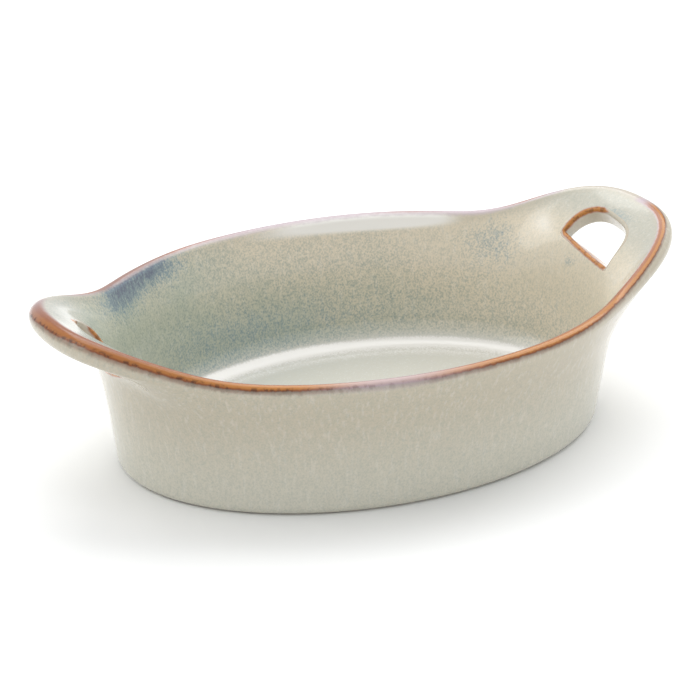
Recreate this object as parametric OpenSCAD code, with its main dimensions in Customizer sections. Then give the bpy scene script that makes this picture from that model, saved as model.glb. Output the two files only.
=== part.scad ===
// Oval baking dish of glazed stoneware with two pierced lug handles.
// The origin is the middle of the foot, on the surface that the dish stands on.
// X runs along the dish through both handles, Y runs across it and Z points up.

/* [Body] */
// Length over both handles
dish_l = 281; // [266:1:330]
// Width over the rim at the long sides
dish_w = 175; // [166:1:200]
// Height of the rim at the long sides
rim_h = 60; // [50:1:68]
// Thickness of the wall
wall_t = 6; // [4.5:0.5:8]
// Thickness of the floor above the recess of the foot
floor_t = 5; // [4:0.5:8]
// Radius of the cove between the floor and the wall inside
cove_r = 13.5; // [9:0.5:17]
// How far the wall leans outwards from upright, in degrees
wall_lean = 7.5; // [4:0.5:9]
// How steeply the rim ends at the long sides, in degrees from level
rim_slope = 71; // [60:1:85]

/* [Foot] */
// Length of the dish at its foot
foot_l = 210; // [196:1:222]
// Width of the dish at its foot
foot_w = 150; // [138:1:156]
// Radius of the edge between the foot and the wall
foot_edge_r = 4.5; // [2:0.5:6]
// Width of the flat ring that the dish stands on
foot_ring_w = 6; // [4:0.5:9]
// Depth of the recess inside the foot ring
foot_recess = 1.5; // [1:0.5:2.5]

/* [Handles] */
// Height of the handles at their tips
handle_h = 75.5; // [70:0.5:88]
// Thickness of the handles at their outer edge
handle_t = 9.5; // [8:0.5:12]
// How steeply the handles rise at their outer edge, in degrees from level
handle_slope = 24; // [16:1:45]
// How far round the end of the dish a handle reaches to each side, in degrees of facing
handle_span = 61; // [50:1:70]
// Tilt of the direction in which the finger holes are cut through the handles, in degrees from upright
hole_tilt = 42; // [30:1:50]
// Width of each finger hole across the dish
hole_w = 36; // [30:1:46]
// Length of each finger hole up the slope of its handle
hole_l = 16.5; // [15:0.5:24]
// Width of the grip between the finger hole and the outer edge, along the slope
grip_w = 16.5; // [12:0.5:20]
// Turn of each finger hole in its handle, in degrees
hole_turn = -6.5; // [-10:0.5:10]
// Radius of the softened edges of the finger holes
hole_edge_r = 1.5; // [0.8:0.1:2.5]

/* [Hidden] */
// Colour of the glaze
glaze = [0.76, 0.75, 0.69];
// Sections around the dish, each facing the same few degrees further round
around = 96;
turn = 360 / around;
// Rungs of the grid on the wall: above the cove on both faces, and below it outside
wall_rungs = 12;
base_rungs = 2;
// How much closer together the rungs lie near the rim, where 1 is evenly
rung_crowding = 1.4;
// Steps over the rim, round the cove, round the edge of the foot and round a hole's edge
rim_steps = 8;
cove_steps = 6;
foot_steps = 4;
edge_steps = 3;
// Share of the wall's length that holds straight above the foot, and that bends at the rim
wall_hold = 0.72;
rim_bend = 0.36;
// How flat a handle's tip is, and how softly its flanks run out into the rim
handle_flat = 3;
handle_ease = 4.7;
// How square the curved side of a finger hole is, where 2 is an ellipse
hole_square = 3;
// Least gap between a finger hole and the edge of its window in the grid, in cells
window_gap = 0.5;
// Half the foot oval's length and width
foot_a = foot_l / 2;
foot_b = foot_w / 2;
// Height of the floor above the table
floor_z = foot_recess + floor_t;
// How far the rim reaches past the foot at the long sides and at the tips of the handles
side_reach = (dish_w - foot_w) / 2;
tip_reach = (dish_l - foot_l) / 2;
// Place of a finger hole's straight side up the slope that the hole is cut square to
hole_side = up_slope(0, 1) + half_t(0, 1) - grip_w - hole_l;
// Finger hole's outline as facings and shares, sampled to find the window in the grid around it
sample = hole_path(24, 8);
window_half = ceil(max([for (q = sample) abs(q[0])]) / turn + window_gap);
window_low = floor(min([for (q = sample) share_rung(q[0], q[1])]) - window_gap);
window_high = min(wall_rungs, ceil(max([for (q = sample) share_rung(q[0], q[1])]) + window_gap));
window_tall = window_high - window_low;
// Rings of the grid at the lowest outer rung and at the highest inner rung
outer_start = 2 + foot_steps + base_rungs;
inner_start = outer_start + wall_rungs + rim_steps;

// Value between a and b at the share k
function mix(a, b, k) = a + (b - a) * k;

// Value between low and high at which the rising function g reaches goal, by halving
function solve(g, goal, low, high, n = 18) = let (m = (low + high) / 2)
    n == 0 ? m : g(m) < goal ? solve(g, goal, m, high, n - 1) : solve(g, goal, low, m, n - 1);

// Points of an arc about c from angle a up to angle b, without the last one
function arc(c, r, a, b, n) = [for (i = [0:n - 1]) c + r * [cos(mix(a, b, i / n)), sin(mix(a, b, i / n))]];

// Point of the foot oval whose outward normal faces f degrees from the X axis
function foot_oval(f) = [foot_a * foot_a * cos(f), foot_b * foot_b * sin(f)]
    / norm([foot_a * cos(f), foot_b * sin(f)]);

// Place in space of a section's point: p[0] is how far outside the foot oval, p[1] the height
function place(f, p) = let (q = foot_oval(f) + p[0] * [cos(f), sin(f)]) [q[0], q[1], p[1]];

// How much of a handle there is at facing f: 1 at a tip, 0 at the plain rim
function lift(f) = let (off = acos(min(abs(cos(f)), 1)), s = min(off / handle_span, 1))
    pow(1 - pow(s, handle_flat), handle_ease);

// Half the wall's thickness at facing f and at the share t of the way up
function half_t(f, t) = mix(wall_t, handle_t, lift(f) * t * t) / 2;

// The four control points of the curve along the middle of the wall at facing f
function wall_curve(f) = let (
    k = lift(f),
    slope = mix(rim_slope, handle_slope, k),
    rise = [sin(wall_lean), cos(wall_lean)],
    low = foot_edge_r * ([-1, 1] + [rise[1], -rise[0]]) + wall_t / 2 * [-rise[1], rise[0]],
    high = [mix(side_reach, tip_reach, k), mix(rim_h, handle_h, k)] - half_t(f, 1) * [1, 1],
    chord = norm(high - low)
) [low, low + wall_hold * chord * rise, high - rim_bend * chord * [cos(slope), sin(slope)], high];

// Point on the middle of the wall at the share t of the way up, and the outward normal there
function middle(f, t) = let (c = wall_curve(f), s = 1 - t)
    s * s * s * c[0] + 3 * s * s * t * c[1] + 3 * s * t * t * c[2] + t * t * t * c[3];
function outward(f, t) = let (
    c = wall_curve(f),
    s = 1 - t,
    along = s * s * (c[1] - c[0]) + 2 * s * t * (c[2] - c[1]) + t * t * (c[3] - c[2])
) [along[1], -along[0]] / norm(along);

// Point of the wall: w runs from -1 on the inner face to 1 on the outer face
function wall_point(f, t, w) = middle(f, t) + w * half_t(f, t) * outward(f, t);

// Share of the way up at which the cove runs into the inner face
function cove_top(f) = solve(
    function (t) wall_point(f, t, -1)[1] - cove_r * outward(f, t)[1], floor_z + cove_r, 0, 0.9);

// Share of the way up of rung j, and the rung at the share t
function rung_share(f, j) = mix(cove_top(f), 1, 1 - pow(1 - j / wall_rungs, rung_crowding));
function share_rung(f, t) = let (low = cove_top(f))
    wall_rungs * (1 - pow(max((1 - t) / (1 - low), 0), 1 / rung_crowding));

// Outline of the section at facing f, from the recess under the dish, over the rim, to the floor
function section(f) = let (
    ring_in = -foot_edge_r - foot_ring_w,
    shares = [for (j = [0:wall_rungs]) rung_share(f, j)],
    over = outward(f, 1),
    over_a = atan2(over[1], over[0]),
    cove_in = outward(f, shares[0]),
    cove_c = wall_point(f, shares[0], -1) - cove_r * cove_in
) concat(
    [[ring_in - foot_recess, foot_recess], [ring_in, 0]],
    arc([-foot_edge_r, foot_edge_r], foot_edge_r, -90, -wall_lean, foot_steps),
    [for (k = [0:base_rungs - 1]) wall_point(f, shares[0] * k / base_rungs, 1)],
    [for (j = [0:wall_rungs - 1]) wall_point(f, shares[j], 1)],
    arc(middle(f, 1), half_t(f, 1), over_a, over_a + 180, rim_steps),
    [for (j = [wall_rungs:-1:1]) wall_point(f, shares[j], -1)],
    arc(cove_c, cove_r, atan2(cove_in[1], cove_in[0]), -90, cove_steps),
    [cove_c - [0, cove_r]]
);

// How far up the slope of the finger hole the middle of the wall lies
function up_slope(f, t) = let (q = place(f, middle(f, t))) q[0] * cos(hole_tilt) + q[2] * sin(hole_tilt);

// Facing at which the middle of the wall, at share t of the way up, lies y across the dish
function facing(y, t) = solve(function (f) place(f, middle(f, t))[1], y, -80, 80);

// Finger hole on the +X side, seen square to its slope: n points round its curve, m along its side
function hole_plan(n, m) = let (plan = concat(
    [for (i = [0:n - 1]) let (a = mix(-90, 90, i / n)) [
        hole_l * (pow(abs(cos(a)), 2 / hole_square) - 0.5),
        hole_w / 2 * sign(a) * pow(abs(sin(a)), 2 / hole_square)
    ]],
    [for (i = [0:m - 1]) [-hole_l / 2, mix(hole_w, -hole_w, i / m) / 2]]
)) [for (q = plan) [
    hole_side + hole_l / 2 + q[0] * cos(hole_turn) - q[1] * sin(hole_turn),
    q[0] * sin(hole_turn) + q[1] * cos(hole_turn)
]];

// The same plan laid on the wall, as pairs of facing and share of the way up
function hole_path(n, m) = [for (q = hole_plan(n, m))
    let (t = solve(function (t) up_slope(facing(q[1], t), t), q[0], 0, 1)) [facing(q[1], t), t]];

// Rings from the outer to the inner face round the finger hole, its edges softened by an arc
function hole_rings() = let (
    path = hole_path(2 * (window_half + window_tall), 2 * window_half),
    n = len(path),
    mid = [for (q = path) place(q[0], middle(q[0], q[1]))],
    out = [for (q = path) let (v = outward(q[0], q[1])) [v[0] * cos(q[0]), v[0] * sin(q[0]), v[1]]],
    away = [for (i = [0:n - 1]) let (v = cross(out[i], mid[(i + 1) % n] - mid[(i + n - 1) % n])) v / norm(v)],
    soft = [for (e = [0:edge_steps]) let (a = 90 * e / edge_steps)
        hole_edge_r * [1 - sin(a), 1 - cos(a)]]
) [for (side = [1, -1]) for (e = [0:edge_steps]) let (s = soft[side > 0 ? e : edge_steps - e])
    [for (i = [0:n - 1]) mid[i] + side * (half_t(path[i][0], path[i][1]) - s[1]) * out[i] + s[0] * away[i]]];

// Number of the point at column i of ring r in the grid
function spot(r, i) = r * around + (i + around) % around;

// Loop of grid points round the window of a finger hole, in the rings that start at the given one
function window_loop(start, step, column) = let (b = window_half) [
    for (j = [window_low:window_high - 1]) spot(start + step * j, column - b),
    for (i = [-b:b - 1]) spot(start + step * window_high, column + i),
    for (j = [window_high:-1:window_low + 1]) spot(start + step * j, column + b),
    for (i = [b:-1:1 - b]) spot(start + step * window_low, column + i)
];

// Whether the cell above ring r and past column i lies in the window of a finger hole
function in_window(r, i) = let (
    half = around / 2,
    off = abs((i + 0.5 + half / 2) % half - half / 2),
    out_j = r - outer_start,
    in_j = inner_start + wall_rungs - r - 1
) off < window_half
    && ((out_j >= window_low && out_j < window_high) || (in_j >= window_low && in_j < window_high));

// Triangles between two closed loops of point numbers
function band(a, b) = [for (i = [0:len(a) - 1]) let (k = (i + 1) % len(a))
    each [[a[i], a[k], b[k]], [a[i], b[k], b[i]]]];

// Triangles of a finger hole at the given column, whose first point in the list has the given number
function hole_faces(column, first, rings, n) = let (
    loops = concat(
        [window_loop(outer_start, 1, column)],
        [for (r = [0:rings - 1]) [for (i = [0:n - 1]) first + r * n + i]],
        [window_loop(inner_start + wall_rungs, -1, column)]
    )
) [for (k = [0:len(loops) - 2]) each band(loops[k], loops[k + 1])];

// The whole dish: rings of points around it, closed by recess and floor, with a tube in each handle
module baking_dish() {
    sections = [for (i = [0:around - 1]) section(turn * i)];
    levels = len(sections[0]);
    tube = [for (r = hole_rings()) each r];
    rings = 2 * (edge_steps + 1);
    per_ring = len(tube) / rings;
    first = levels * around;
    last = first + 2 * len(tube);
    color(glaze) polyhedron(
        points = concat(
            [for (r = [0:levels - 1]) for (i = [0:around - 1]) place(turn * i, sections[i][r])],
            tube,
            [for (p = tube) [-p[0], -p[1], p[2]]],
            [[0, 0, foot_recess], [0, 0, floor_z]]
        ),
        faces = concat(
            [for (i = [0:around - 1]) [last, spot(0, i), spot(0, i + 1)]],
            [for (r = [0:levels - 2]) for (i = [0:around - 1]) if (!in_window(r, i)) each [
                [spot(r, i), spot(r + 1, i), spot(r + 1, i + 1)],
                [spot(r, i), spot(r + 1, i + 1), spot(r, i + 1)]
            ]],
            [for (i = [0:around - 1]) [last + 1, spot(levels - 1, i + 1), spot(levels - 1, i)]],
            hole_faces(0, first, rings, per_ring),
            hole_faces(around / 2, first + len(tube), rings, per_ring)
        )
    );
}

baking_dish();
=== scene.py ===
"""Oval baking dish of stoneware with two pierced lug handles, dressed in its reactive glaze.

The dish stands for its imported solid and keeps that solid's form. It is one closed surface, worked out as
whole arrays from the same named sizes, with more sections and rungs than the solid has, so that the gloss
runs smoothly over it. Lengths are in millimetres while the form is worked out, and turn to metres when the
mesh is made.
"""

import logging
from collections.abc import Callable
from dataclasses import dataclass, field
from enum import Enum
from typing import Any

import bpy
import numpy as np
from mathutils import Matrix, Vector


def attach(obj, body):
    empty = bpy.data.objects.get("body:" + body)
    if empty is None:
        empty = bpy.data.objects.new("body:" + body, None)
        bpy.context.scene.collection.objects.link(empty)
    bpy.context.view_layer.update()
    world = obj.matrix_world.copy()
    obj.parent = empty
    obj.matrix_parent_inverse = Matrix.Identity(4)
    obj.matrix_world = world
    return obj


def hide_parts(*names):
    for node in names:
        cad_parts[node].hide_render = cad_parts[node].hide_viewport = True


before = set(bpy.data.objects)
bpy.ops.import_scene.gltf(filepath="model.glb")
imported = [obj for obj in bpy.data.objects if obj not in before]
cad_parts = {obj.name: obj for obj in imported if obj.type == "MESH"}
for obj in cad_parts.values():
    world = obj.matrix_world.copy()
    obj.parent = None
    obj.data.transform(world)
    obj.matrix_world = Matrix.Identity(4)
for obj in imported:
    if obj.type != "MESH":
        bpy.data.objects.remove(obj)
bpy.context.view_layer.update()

LOG = logging.getLogger("baking_dish")
# A millimetre in metres, and a centimetre in millimetres.
MILLIMETRE = 0.001
CENTIMETRE = 10.0
PHOTO_SIDE = 700
HALVINGS = 24
# Further than this from the brown line, in millimetres, no tone goes by the distance.
FAR = 60.0
# Numbers of the Mix node's colour sockets: what lies beneath, what is laid over it, and the result.
BENEATH, OVER, RESULT = 6, 7, 2

Tone = tuple[float, float, float, float]


def linear(colour: str) -> Tone:
    """Turns an sRGB hex colour into linear light.

    Args:
        colour: The colour as "#rrggbb".

    Returns:
        Red, green, blue and full opacity, as a shader's socket takes them.
    """
    shares = np.array([int(colour[i : i + 2], 16) for i in (1, 3, 5)]) / 255.0
    light = np.where(shares <= 0.04045, shares / 12.92, ((shares + 0.055) / 1.055) ** 2.4)
    return (*light.tolist(), 1.0)


def add_node(
    tree: bpy.types.NodeTree,
    kind: str,
    inputs: dict[str | int, Any] | None = None,
    stops: list[tuple[float, Tone]] | None = None,
    **settings: Any,
) -> bpy.types.Node:
    """Adds one node with its settings, its fixed values and the links that run into it.

    Args:
        tree: The node tree that the node goes into.
        kind: The node's type name.
        inputs: A value, or an amount or output socket to link from, for each input's name or number.
        stops: Places and colours of a colour ramp's stops, from left to right.
        **settings: The node's own properties.

    Returns:
        The new node.
    """
    node = tree.nodes.new(kind)
    for name, value in settings.items():
        setattr(node, name, value)
    for name, value in (inputs or {}).items():
        if isinstance(value, Amount):
            tree.links.new(value.socket, node.inputs[name])
        elif isinstance(value, bpy.types.NodeSocket):
            tree.links.new(value, node.inputs[name])
        else:
            node.inputs[name].default_value = value
    if stops:
        for _ in range(len(stops) - 2):
            node.color_ramp.elements.new(0.5)
        for element, (place, colour) in zip(node.color_ramp.elements, stops):
            element.position = place
            element.color = colour
    return node


def empty_finish(name: str) -> bpy.types.Material:
    """Makes a material with no nodes in it yet.

    Args:
        name: The material's name.

    Returns:
        The material.
    """
    finish = bpy.data.materials.new(name)
    finish.use_nodes = True
    finish.node_tree.nodes.clear()
    return finish


def laid(
    tree: bpy.types.NodeTree,
    ground: Tone | bpy.types.NodeSocket,
    layers: list[tuple["Amount", Tone | bpy.types.NodeSocket]],
) -> bpy.types.NodeSocket:
    """Lays tones over a ground, one after the other.

    Each layer hides what lies beneath it by its share: beneath times (1 - share) plus tone times share.

    Args:
        tree: The material's node tree.
        ground: The tone at the bottom.
        layers: Share and tone of each layer, from the bottom up.

    Returns:
        The tone that shows.
    """
    for share, tone in layers:
        inputs = {0: share, BENEATH: ground, OVER: tone}
        ground = add_node(tree, "ShaderNodeMix", inputs, data_type="RGBA").outputs[RESULT]
    return ground


@dataclass(frozen=True)
class Amount:
    """A number at every point of a surface: a node's output, with arithmetic that adds the nodes it needs."""

    tree: bpy.types.NodeTree
    socket: bpy.types.NodeSocket

    def reckon(self, operation: str, other: "Amount | float") -> "Amount":
        """Works out one step of arithmetic with another amount or number.

        Args:
            operation: The step, such as "ADD".
            other: The other amount or number.

        Returns:
            The result.
        """
        node = add_node(self.tree, "ShaderNodeMath", {0: self, 1: other}, operation=operation)
        return Amount(self.tree, node.outputs[0])

    def __add__(self, other: "Amount | float") -> "Amount":
        """This amount and another together."""
        return self.reckon("ADD", other)

    def __sub__(self, other: "Amount | float") -> "Amount":
        """This amount less another."""
        return self.reckon("SUBTRACT", other)

    def __mul__(self, other: "Amount | float") -> "Amount":
        """This amount times another."""
        return self.reckon("MULTIPLY", other)


@dataclass(frozen=True)
class Climb:
    """How an amount follows a value: from start where the value is low, smoothly to end where it is high."""

    low: float
    high: float
    end: float = 1.0
    start: float = 0.0

    def of(self, value: Amount) -> Amount:
        """Follows a value: start + (end - start) * (3 s² - 2 s³), with s its share of the way, 0 to 1.

        Args:
            value: The value to follow.

        Returns:
            The amount.
        """
        ends = {"From Min": self.low, "From Max": self.high, "To Min": self.start, "To Max": self.end}
        ends["Value"] = value
        node = add_node(value.tree, "ShaderNodeMapRange", ends, interpolation_type="SMOOTHSTEP")
        return Amount(value.tree, node.outputs[0])


@dataclass(frozen=True)
class Grain:
    """Noise with features of a size in millimetres, drawn out upright by a stretch."""

    size: float
    detail: float
    stretch: float = 1.0
    spread: float = 0.5

    def drawn(self, tree: bpy.types.NodeTree, place: bpy.types.NodeSocket) -> Amount:
        """Draws the noise over the object's own coordinates.

        Args:
            tree: The material's node tree.
            place: The coordinates, in metres.

        Returns:
            The noise, about 0.5 on average.
        """
        run = add_node(tree, "ShaderNodeMapping", {"Vector": place, "Scale": (1.0, 1.0, 1.0 / self.stretch)})
        inputs = {"Vector": run.outputs[0], "Scale": 1.0 / MILLIMETRE / self.size}
        inputs |= {"Detail": self.detail, "Roughness": self.spread}
        return Amount(tree, add_node(tree, "ShaderNodeTexNoise", inputs).outputs["Fac"])


class Face(Enum):
    """The two faces of the wall, as which way they lie from its middle."""

    OUTER = 1.0
    INNER = -1.0


class Handle(Enum):
    """The two handles, as the sign that the +X handle's X and Y are multiplied by."""

    RIGHT = 1.0
    LEFT = -1.0


@dataclass(frozen=True)
class DishSizes:
    """Sizes of the dish in millimetres, degrees, shares and powers, the same as its solid has."""

    length: float = 281.0
    width: float = 175.0
    rim_height: float = 60.0
    wall: float = 6.0
    floor: float = 5.0
    cove: float = 13.5
    lean: float = 7.5
    rim_slope: float = 71.0
    foot_length: float = 210.0
    foot_width: float = 150.0
    foot_edge: float = 4.5
    foot_ring: float = 6.0
    foot_recess: float = 1.5
    handle_height: float = 75.5
    handle_thick: float = 9.5
    handle_slope: float = 24.0
    handle_span: float = 61.0
    hole_tilt: float = 42.0
    hole_width: float = 36.0
    hole_length: float = 16.5
    grip: float = 16.5
    hole_turn: float = -6.5
    hole_edge: float = 1.5
    wall_hold: float = 0.72
    rim_bend: float = 0.36
    handle_flat: float = 3.0
    handle_ease: float = 4.7
    hole_square: float = 3.0


def halved(low: np.ndarray, high: np.ndarray, below: Callable[[np.ndarray], np.ndarray]) -> np.ndarray:
    """Closes in on where a test stops holding, by halving the intervals between low and high.

    Args:
        low: Starts of the intervals, where the test holds.
        high: Ends of the intervals, where it doesn't.
        below: The test, on an array of values.

    Returns:
        The values at which it stops holding.
    """
    for _ in range(HALVINGS):
        middle = (low + high) / 2
        less = below(middle)
        low, high = np.where(less, middle, low), np.where(less, high, middle)
    return (low + high) / 2


@dataclass
class DishForm:
    """The dish's form as functions of two parameters.

    The first is the facing f: the direction, in radians from the X axis, that the wall faces at the foot. The
    second is the share t of the way up the wall. A section is given as r, the distance outside the foot's
    oval, and z. The widest hole is a half angle in degrees, within which a finger hole's facings are sought.
    """

    sizes: DishSizes
    highest_cove: float = 0.9
    widest_hole: float = 80.0
    gauss_points: int = 8

    def __post_init__(self) -> None:
        """Works out where a finger hole starts, up its slope."""
        tip = np.zeros(1)
        top = self.up_slope(tip, tip + 1)[0] + self.half(tip, tip + 1)[0]
        self.hole_side = float(top) - self.sizes.grip - self.sizes.hole_length

    def place(self, f: np.ndarray, section: np.ndarray) -> np.ndarray:
        """Places section points in space.

        The foot's oval has the point (a² cos f, b² sin f) / hypot(a cos f, b sin f) where it faces f, with a
        and b half its length and width. A section point lies r further along (cos f, sin f), at its own
        height.

        Args:
            f: Facings.
            section: Pairs of r and z, one for each facing.

        Returns:
            Points in space.
        """
        a, b = self.sizes.foot_length / 2, self.sizes.foot_width / 2
        reach = np.hypot(a * np.cos(f), b * np.sin(f))
        x = a * a * np.cos(f) / reach + section[..., 0] * np.cos(f)
        y = b * b * np.sin(f) / reach + section[..., 0] * np.sin(f)
        return np.stack([x, y, section[..., 1]], axis=-1)

    def lift(self, f: np.ndarray) -> np.ndarray:
        """Works out the share of a handle: (1 - s^flat)^ease, with s the turn from the tip over the span.

        Args:
            f: Facings.

        Returns:
            Shares, 1 at a handle's tip and 0 along the plain rim.
        """
        off = np.degrees(np.arccos(np.clip(np.abs(np.cos(f)), 0, 1)))
        s = np.clip(off / self.sizes.handle_span, 0, 1)
        return (1 - s**self.sizes.handle_flat) ** self.sizes.handle_ease

    def half(self, f: np.ndarray, t: np.ndarray) -> np.ndarray:
        """Half the wall's thickness, which swells with the square of t towards a handle's edge."""
        swell = (self.sizes.handle_thick - self.sizes.wall) * self.lift(f) * t * t
        return (self.sizes.wall + swell) / 2

    def controls(self, f: np.ndarray) -> tuple[np.ndarray, np.ndarray, np.ndarray, np.ndarray]:
        """Control points of the curve along the middle of the wall.

        The curve starts at the foot's edge along the wall's lean, and ends half a thickness below and inside
        the rim's outer corner, along the rim's slope. Height, reach and slope blend from rim to handle by the
        lift.

        Args:
            f: Facings.

        Returns:
            The four control points in the section, each with one pair for each facing.
        """
        sizes = self.sizes
        lift = self.lift(f)
        lean = np.radians(sizes.lean)
        slope = np.radians(sizes.rim_slope + (sizes.handle_slope - sizes.rim_slope) * lift)
        half = self.half(f, np.ones_like(f))
        side = (sizes.width - sizes.foot_width) / 2
        tip = (sizes.length - sizes.foot_length) / 2
        inset = sizes.wall / 2
        low = np.array(
            [
                (np.cos(lean) - 1) * sizes.foot_edge - inset * np.cos(lean),
                (1 - np.sin(lean)) * sizes.foot_edge + inset * np.sin(lean),
            ]
        )
        high = np.stack(
            [
                side + (tip - side) * lift - half,
                sizes.rim_height + (sizes.handle_height - sizes.rim_height) * lift - half,
            ],
            axis=-1,
        )
        chord = np.linalg.norm(high - low, axis=-1, keepdims=True)
        first = low + sizes.wall_hold * chord * np.array([np.sin(lean), np.cos(lean)])
        second = high - sizes.rim_bend * chord * np.stack([np.cos(slope), np.sin(slope)], axis=-1)
        return low + 0 * high, first, second, high

    def middle(self, f: np.ndarray, t: np.ndarray) -> np.ndarray:
        """Works out the middle of the wall: s³ a + 3 s² t b + 3 s t² c + t³ d, with s = 1 - t.

        Args:
            f: Facings.
            t: Shares of the way up.

        Returns:
            Section points.
        """
        a, b, c, d = self.controls(f)
        t = t[..., None]
        s = 1 - t
        return s**3 * a + 3 * s * s * t * b + 3 * s * t * t * c + t**3 * d

    def along(self, f: np.ndarray, t: np.ndarray) -> np.ndarray:
        """Works out the direction and pace up the middle of the wall, the derivative of its curve by t.

        Args:
            f: Facings.
            t: Shares of the way up.

        Returns:
            Section vectors, in millimetres for a whole step of t.
        """
        a, b, c, d = self.controls(f)
        t = t[..., None]
        s = 1 - t
        return 3 * (s * s * (b - a) + 2 * s * t * (c - b) + t * t * (d - c))

    def outward(self, f: np.ndarray, t: np.ndarray) -> np.ndarray:
        """Works out the outward normal of the middle of the wall: its direction turned a quarter.

        Args:
            f: Facings.
            t: Shares of the way up.

        Returns:
            Section vectors of length 1.
        """
        run = self.along(f, t)
        run = run / np.linalg.norm(run, axis=-1, keepdims=True)
        return np.stack([run[..., 1], -run[..., 0]], axis=-1)

    def skin(self, f: np.ndarray, t: np.ndarray, face: Face) -> np.ndarray:
        """One face of the wall in the section: its middle, half a thickness along the normal."""
        return self.middle(f, t) + face.value * self.half(f, t)[..., None] * self.outward(f, t)

    def left_to_top(self, f: np.ndarray, t: np.ndarray) -> np.ndarray:
        """Works out the length of the wall's middle up to the rim, by Gauss quadrature of its pace.

        Args:
            f: Facings.
            t: Shares of the way up.

        Returns:
            Lengths in millimetres.
        """
        nodes, weights = np.polynomial.legendre.leggauss(self.gauss_points)
        shares = t[..., None] + (1 - t)[..., None] * (nodes + 1) / 2
        pace = np.linalg.norm(self.along(np.broadcast_to(f[..., None], shares.shape), shares), axis=-1)
        return (pace * weights).sum(-1) * (1 - t) / 2

    def cove_start(self, f: np.ndarray) -> np.ndarray:
        """Finds where the cove's arc leaves the inner face: where its centre lies one radius above the floor.

        Args:
            f: Facings.

        Returns:
            Shares of the way up.
        """
        cove = self.sizes.cove
        goal = self.sizes.foot_recess + self.sizes.floor + cove
        return halved(
            np.zeros_like(f),
            np.full_like(f, self.highest_cove),
            lambda t: (self.skin(f, t, Face.INNER) - cove * self.outward(f, t))[..., 1] < goal,
        )

    def up_slope(self, f: np.ndarray, t: np.ndarray) -> np.ndarray:
        """Works out how far up the finger hole's slope the wall's middle lies: x cos(tilt) + z sin(tilt).

        Args:
            f: Facings.
            t: Shares of the way up.

        Returns:
            Distances in millimetres.
        """
        tilt = np.radians(self.sizes.hole_tilt)
        point = self.place(f, self.middle(f, t))
        return point[..., 0] * np.cos(tilt) + point[..., 2] * np.sin(tilt)

    def facing(self, y: np.ndarray, t: np.ndarray) -> np.ndarray:
        """Finds the facing at which the middle of the wall lies y across the dish.

        Args:
            y: Distances across, in millimetres.
            t: Shares of the way up.

        Returns:
            Facings at the +X end.
        """
        side = np.full_like(t, np.radians(self.widest_hole))
        return halved(-side, side, lambda f: self.place(f, self.middle(f, t))[..., 1] < y)

    def hole_outline(self, round_points: int, side_points: int) -> tuple[np.ndarray, np.ndarray]:
        """Outline of the finger hole at the +X end, laid on the wall.

        Seen square to its slope, the hole is half a superellipse, |cos a|^(2/k) by |sin a|^(2/k), closed by a
        straight side and turned a few degrees about its middle. Each point is then found on the wall by
        halving.

        Args:
            round_points: Points round the curve.
            side_points: Points along the straight side.

        Returns:
            Facings and shares of the way up.
        """
        sizes = self.sizes
        power = 2 / sizes.hole_square
        a = np.linspace(-np.pi / 2, np.pi / 2, round_points, endpoint=False)
        back = np.linspace(0.5, -0.5, side_points, endpoint=False)
        rise = np.concatenate([np.abs(np.cos(a)) ** power, np.zeros(side_points)]) - 0.5
        across = np.concatenate([np.sign(np.sin(a)) * np.abs(np.sin(a)) ** power / 2, back])
        rise, across = rise * sizes.hole_length, across * sizes.hole_width
        turn = np.radians(sizes.hole_turn)
        goal = self.hole_side + sizes.hole_length / 2 + rise * np.cos(turn) - across * np.sin(turn)
        y = rise * np.sin(turn) + across * np.cos(turn)
        low, high = np.zeros_like(goal), np.ones_like(goal)
        t = halved(low, high, lambda t: self.up_slope(self.facing(y, t), t) < goal)
        return self.facing(y, t), t


@dataclass
class Surface:
    """Points, their patterns' values and the faces between them, gathered block by block."""

    points: list[np.ndarray] = field(default_factory=list)
    over_rim: list[np.ndarray] = field(default_factory=list)
    pooled_and_sheen: list[np.ndarray] = field(default_factory=list)
    quads: list[np.ndarray] = field(default_factory=list)
    fans: list[np.ndarray] = field(default_factory=list)
    count: int = 0

    def add_points(
        self, points: np.ndarray, over_rim: np.ndarray | float, pooled_and_sheen: np.ndarray | float
    ) -> np.ndarray:
        """Adds a block of points.

        Args:
            points: Points in space, in millimetres.
            over_rim: How far each lies over the rim from its brown line, outwards, in millimetres.
            pooled_and_sheen: How much the running glaze has gathered there, from 0 on the walls to 1 on the
                floor; in the cove a band of painted highlight is added to it.

        Returns:
            The points' numbers, in the block's shape.
        """
        flat = points.reshape(-1, 3)
        self.points.append(flat)
        self.over_rim.append(np.broadcast_to(over_rim, points.shape[:-1]).reshape(-1))
        self.pooled_and_sheen.append(np.broadcast_to(pooled_and_sheen, points.shape[:-1]).reshape(-1))
        numbers = self.count + np.arange(len(flat)).reshape(points.shape[:-1])
        self.count += len(flat)
        return numbers

    def add_bands(self, loops: np.ndarray) -> None:
        """Adds the faces between closed loops of points, wound towards the last loop.

        Args:
            loops: The points' numbers, each loop a row.
        """
        following = np.roll(loops, -1, axis=1)
        cells = np.stack([loops[:-1], loops[1:], following[1:], following[:-1]], axis=-1)
        self.quads.append(cells.reshape(-1, 4))


@dataclass(frozen=True)
class HoleEdge:
    """A finger hole's two softened edges as points, curve first, how many are the curve, and its handle."""

    inner: np.ndarray
    outer: np.ndarray
    rounded: int
    handle: Handle


@dataclass(frozen=True)
class Bell:
    """A soft bump of depth * exp(-((share - at) / reach)²) round a share of the way along an edge."""

    at: float
    reach: float
    depth: float


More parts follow.
